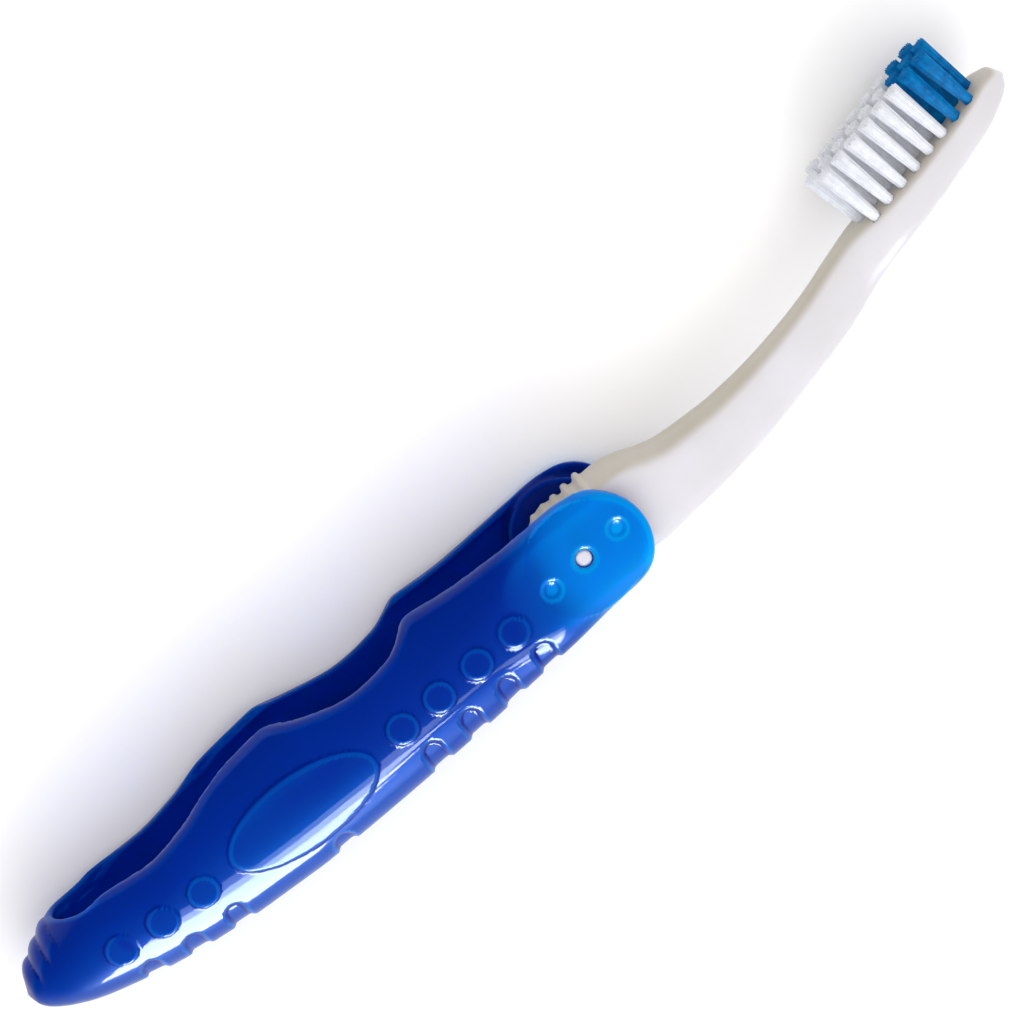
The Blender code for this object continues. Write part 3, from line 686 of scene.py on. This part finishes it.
def blue_plastic():
    """Polished translucent blue, with light and shade painted into its colour.

    Painted glow makes it azure over the white boss, at the pin hole and the dimples, on thin convex
    edges and towards the spine; painted shade makes it navy in creases and on inner faces near the
    boss.
    """
    material, tree, shader = new_material("blue_translucent_plastic")
    shader.inputs["Roughness"].default_value = 0.3
    shader.inputs["IOR"].default_value = 1.25
    shader.inputs["Specular IOR Level"].default_value = 0.2
    shader.inputs["Specular Tint"].default_value = (0.0, 0.2, 1.0, 1.0)
    shader.inputs["Transmission Weight"].default_value = 0.4
    shader.inputs["Coat Weight"].default_value = 0.15
    shader.inputs["Coat Roughness"].default_value = 0.03
    shader.inputs["Coat IOR"].default_value = 1.58
    place = add_node(tree, "ShaderNodeTexCoord")
    centred = add_node(tree, "ShaderNodeMapping")
    centred.inputs["Location"].default_value = tuple(-PIVOT * MM)
    parts = add_node(tree, "ShaderNodeSeparateXYZ")
    facing = add_node(tree, "ShaderNodeSeparateXYZ")
    cloud = add_node(tree, "ShaderNodeTexNoise", Scale=45.0, Detail=3.0)
    bend = add_node(tree, "ShaderNodeAttribute", attribute_name="bend")
    tree.links.new(place.outputs["Object"], centred.inputs["Vector"])
    tree.links.new(centred.outputs["Vector"], parts.inputs["Vector"])
    tree.links.new(place.outputs["Normal"], facing.inputs["Vector"])
    tree.links.new(centred.outputs["Vector"], cloud.inputs["Vector"])
    # painted glow: the blue is painted lighter over the white boss behind the wall
    boss = spot(tree, centred.outputs["Vector"], BOSS_GLOW_CENTRE, BOSS_GLOW, BOSS_GLOW_STRENGTH)
    # painted shade: inward faces get a darker blue near the boss, outward faces get the painted glow
    outward = combined(tree, "MULTIPLY", parts.outputs["Z"], facing.outputs["Z"])
    outside = spread(tree, outward, over=(-0.003, 0.002), values=(-0.35, 1.0))
    # painted highlight: convex edges are painted a lighter azure
    painted_edge_glow = spread(tree, bend.outputs["Fac"], over=(0.3, 1.6), values=(0.0, 0.2))
    # painted shade: concave creases, such as the rings round the marks, are painted darker
    corner = spread(tree, bend.outputs["Fac"], over=(-0.3, -1.6), values=(0.0, -0.15))
    milk = spread(tree, cloud.outputs["Fac"], over=(0.3, 0.7), values=(-0.03, 0.03))
    # painted light: the blue is painted lighter towards the spine side
    painted_spine_glow = spread(tree, parts.outputs["Y"], over=(0.003, -0.017), values=(0.2, 0.46))
    light = combined(tree, "MULTIPLY", boss, outside)
    extras = [painted_edge_glow, corner, milk, painted_spine_glow]
    # painted glow: the blue is painted lighter at the pin hole and the dimples
    for centre in ((0.0, 0.0), orbit(OPEN_DETENT_DEG), orbit(OPEN_DETENT_DEG + 180.0)):
        glow = spot(tree, centred.outputs["Vector"], centre, DIMPLE_GLOW, DIMPLE_GLOW_STRENGTH)
        extras.append(glow)
    for extra in extras:
        light = combined(tree, "ADD", light, extra)
    tree.links.new(coloured(tree, light, BLUES), shader.inputs["Base Color"])
    return material


def white_plastic():
    """Satin white moulding, with painted shade: darker beige on faces towards the bristles' side."""
    material, tree, shader = new_material("white_plastic")
    shader.inputs["Roughness"].default_value = 0.3
    shader.inputs["Specular IOR Level"].default_value = 0.14
    shader.inputs["Subsurface Weight"].default_value = 0.25
    shader.inputs["Subsurface Radius"].default_value = (0.002, 0.0018, 0.0016)
    shader.inputs["Subsurface Scale"].default_value = 1.0
    place = add_node(tree, "ShaderNodeTexCoord")
    cloud = add_node(tree, "ShaderNodeTexNoise", Scale=60.0, Detail=4.0)
    facing = add_node(tree, "ShaderNodeSeparateXYZ")
    tree.links.new(place.outputs["Object"], cloud.inputs["Vector"])
    tree.links.new(place.outputs["Normal"], facing.inputs["Vector"])
    # painted shade: faces turned towards +Y, the bristles' side, are painted a darker beige
    painted_side_shade = spread(tree, facing.outputs["Y"], over=(0.35, 1.0), values=(0.06, 0.85))
    grain = spread(tree, cloud.outputs["Fac"], over=(0.3, 0.7), values=(-0.1, 0.1))
    tint = coloured(tree, combined(tree, "ADD", painted_side_shade, grain),
                    ((0.0, (0.68, 0.67, 0.71)), (1.0, (0.46, 0.43, 0.36))))
    tree.links.new(tint, shader.inputs["Base Color"])
    return material


def nylon(name, dark, light):
    """Fine extruded filament, a little lighter and darker from strand to strand."""
    material, tree, shader = new_material(name)
    shader.inputs["Roughness"].default_value = 0.35
    shader.inputs["Specular IOR Level"].default_value = 0.05
    shader.inputs["Transmission Weight"].default_value = 0.05
    place = add_node(tree, "ShaderNodeTexCoord")
    cloud = add_node(tree, "ShaderNodeTexNoise", Scale=900.0, Detail=2.0)
    tree.links.new(place.outputs["Object"], cloud.inputs["Vector"])
    tint = coloured(tree, cloud.outputs["Fac"], ((0.35, dark), (0.65, light)))
    tree.links.new(tint, shader.inputs["Base Color"])
    return material


def anchor_brass():
    """Drawn flat wire, cut and pressed in."""
    material, tree, shader = new_material("anchor_brass")
    shader.inputs["Metallic"].default_value = 1.0
    place = add_node(tree, "ShaderNodeTexCoord")
    lines = add_node(tree, "ShaderNodeTexNoise", Scale=4000.0, Detail=3.0)
    tree.links.new(place.outputs["Object"], lines.inputs["Vector"])
    tint = coloured(tree, lines.outputs["Fac"],
                    ((0.0, (0.62, 0.52, 0.3)), (1.0, (0.85, 0.76, 0.52))))
    rough = spread(tree, lines.outputs["Fac"], over=(0.0, 1.0), values=(0.25, 0.45), kind="LINEAR")
    tree.links.new(tint, shader.inputs["Base Color"])
    tree.links.new(rough, shader.inputs["Roughness"])
    return material


def floor_paint():
    """Plain pale floor."""
    material, _, shader = new_material("pale_floor")
    shader.inputs["Base Color"].default_value = (0.97, 0.97, 0.97, 1.0)
    shader.inputs["Roughness"].default_value = 0.9
    shader.inputs["Specular IOR Level"].default_value = 0.1
    return material


# ---------------------------------------------------------------- pieces
def build_handle():
    material = blue_plastic()
    low = (NOSE_X, HANDLE_REACH_Y[0], -REST_Z)
    high = (LOBE_CENTRE[0] + LOBE_RADIUS, HANDLE_REACH_Y[1], REST_Z)
    piece = moulding("handle_moulding", handle_solid, low, high, PITCH, material)
    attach(piece, "handle")
    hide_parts("handle_shell")


def build_brush():
    material = white_plastic()
    low = (-BOSS_RADIUS, BRUSH_REACH_Y[0], -PIN_END_Z)
    high = (TIP_X, BRUSH_REACH_Y[1], PIN_END_Z)
    piece = moulding("brush_moulding", brush_solid, low, high, PITCH, material)
    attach(piece, "brush")
    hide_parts("brush_body")


def build_bristles():
    white = nylon("white_nylon", (0.78, 0.8, 0.86), (0.86, 0.88, 0.94))
    blue = nylon("blue_nylon", (0.0, 0.13, 0.4), (0.0, 0.22, 0.56))
    rng = np.random.default_rng(5)
    for name, along, offset in tuft_feet():
        is_blue = along > FIRST_BLUE_ALONG
        points, quads = tuft_strands(along, offset, rng)
        piece = mesh_object(f"bristles_{name}", points, quads, blue if is_blue else white)
        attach(piece, "brush")
        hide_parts(f"tuft_{name}")


def finish_anchors():
    """The hidden CAD anchors keep their shape and get their metal."""
    brass = anchor_brass()
    for name, obj in frame["nodes"].items():
        if name.startswith("anchor_"):
            obj.material_slots[0].link = "OBJECT"
            obj.material_slots[0].material = brass


# ---------------------------------------------------------------- studio
CAMERA_TILT_DEG = 17.0    # off the pivot axis, towards the bristle side
CAMERA_ROLL_DEG = 36.3    # the handle climbs to the right by this much
CAMERA_DISTANCE = 600.0
CAMERA_AIM = (-4.1, 10.04, 5.43)
CAMERA_SENSOR = 36.0
CAMERA_LENS = 157.3
FLOOR_HALF = 3.0
HORIZON = (0.92, 0.92, 0.92)
ZENITH = (0.1, 0.093, 0.084)
COOL = (0.98, 0.98, 1.0)
WARM = (1.0, 0.85, 0.6)
WINDOW = (0.8, 0.93, 1.0)
GLARE_TURN_DEG = -108.5   # the glare is a tall window that fades out upwards
GLARE_LOW_DEG = 12.0
GLARE_STEP_DEG = 8.0
GLARE_WIDTH = 0.48
GLARE_POWERS = (19.0, 19.0, 18.5, 17.0, 7.5, 1.6)


def add_camera():
    """The viewing angle from above, tilted and rolled about the pivot axis."""
    tilt = math.radians(CAMERA_TILT_DEG)
    roll = math.radians(CAMERA_ROLL_DEG)
    back = Vector((0.0, math.sin(tilt), math.cos(tilt)))
    level = Vector((1.0, 0.0, 0.0))
    rise = back.cross(level)
    right = math.cos(roll) * level - math.sin(roll) * rise
    up = back.cross(right)
    camera = bpy.data.cameras.new("camera")
    camera.sensor_width = CAMERA_SENSOR
    camera.lens = CAMERA_LENS
    camera.clip_start = 0.01
    camera.clip_end = 20.0
    obj = bpy.data.objects.new("camera", camera)
    place = Vector(to_world(CAMERA_AIM)) + back * CAMERA_DISTANCE * MM
    turn = Matrix((right, up, back)).transposed().to_4x4()
    obj.matrix_world = Matrix.Translation(place) @ turn
    bpy.context.scene.collection.objects.link(obj)
    bpy.context.scene.camera = obj


def add_softbox(name, place, aim, size, power, colour, glossy):
    """A rectangular light at a place in metres, turned towards aim.

    A glossy one shows only as glare in the polish; any other lights the scene and
    doesn't show in the polish.
    """
    light = bpy.data.lights.new(name, "AREA")
    light.shape = "RECTANGLE"
    light.size, light.size_y = size
    light.energy = power
    light.color = colour
    obj = bpy.data.objects.new(name, light)
    obj.location = place
    direction = Vector(aim) - Vector(place)
    obj.rotation_euler = direction.to_track_quat("-Z", "Y").to_euler()
    obj.visible_glossy = glossy
    obj.visible_diffuse = not glossy
    obj.visible_transmission = not glossy
    bpy.context.scene.collection.objects.link(obj)


def add_studio():
    mesh = bpy.data.meshes.new("floor")
    half = FLOOR_HALF
    mesh.from_pydata([(-half, -half, 0), (half, -half, 0), (half, half, 0), (-half, half, 0)],
                     [], [(0, 1, 2, 3)])
    mesh.materials.append(floor_paint())
    floor = bpy.data.objects.new("floor", mesh)
    bpy.context.scene.collection.objects.link(floor)
    world = bpy.data.worlds.new("studio")
    world.use_nodes = True
    tree = world.node_tree
    place = add_node(tree, "ShaderNodeTexCoord")
    parts = add_node(tree, "ShaderNodeSeparateXYZ")
    tree.links.new(place.outputs["Generated"], parts.inputs["Vector"])
    height = spread(tree, parts.outputs["Z"], over=(0.16, 0.34), values=(0.0, 1.0))
    sky = coloured(tree, height, ((0.0, HORIZON), (1.0, ZENITH)))
    tree.links.new(sky, tree.nodes["Background"].inputs["Color"])
    bpy.context.scene.world = world
    add_softbox("overhead", (0.0, -0.35, 1.1), (0.0, -0.35, 0.0), (3.0, 3.0), 38.5, COOL, False)
    add_softbox("key", (-0.2, -0.9, 0.8), (0.0, 0.0, 0.0), (1.0, 0.8), 3.6, COOL, False)
    add_softbox("warm_fill", (0.2, 1.0, 0.5), (0.0, 0.0, 0.0), (0.8, 0.6), 1.8, WARM, False)
    turn = math.radians(GLARE_TURN_DEG)
    for index, power in enumerate(GLARE_POWERS):
        rise = math.radians(GLARE_LOW_DEG + GLARE_STEP_DEG * (index + 0.5))
        place = (math.cos(rise) * math.cos(turn), math.cos(rise) * math.sin(turn), math.sin(rise))
        size = (GLARE_WIDTH * math.cos(rise), 2.0 * math.tan(math.radians(0.5 * GLARE_STEP_DEG)))
        add_softbox(f"glare_{index}", place, (0.0, 0.0, 0.0), size, power, WINDOW, True)


build_handle()
build_brush()
build_bristles()
finish_anchors()
add_camera()
add_studio()
bpy.context.scene.view_settings.view_transform = "Standard"
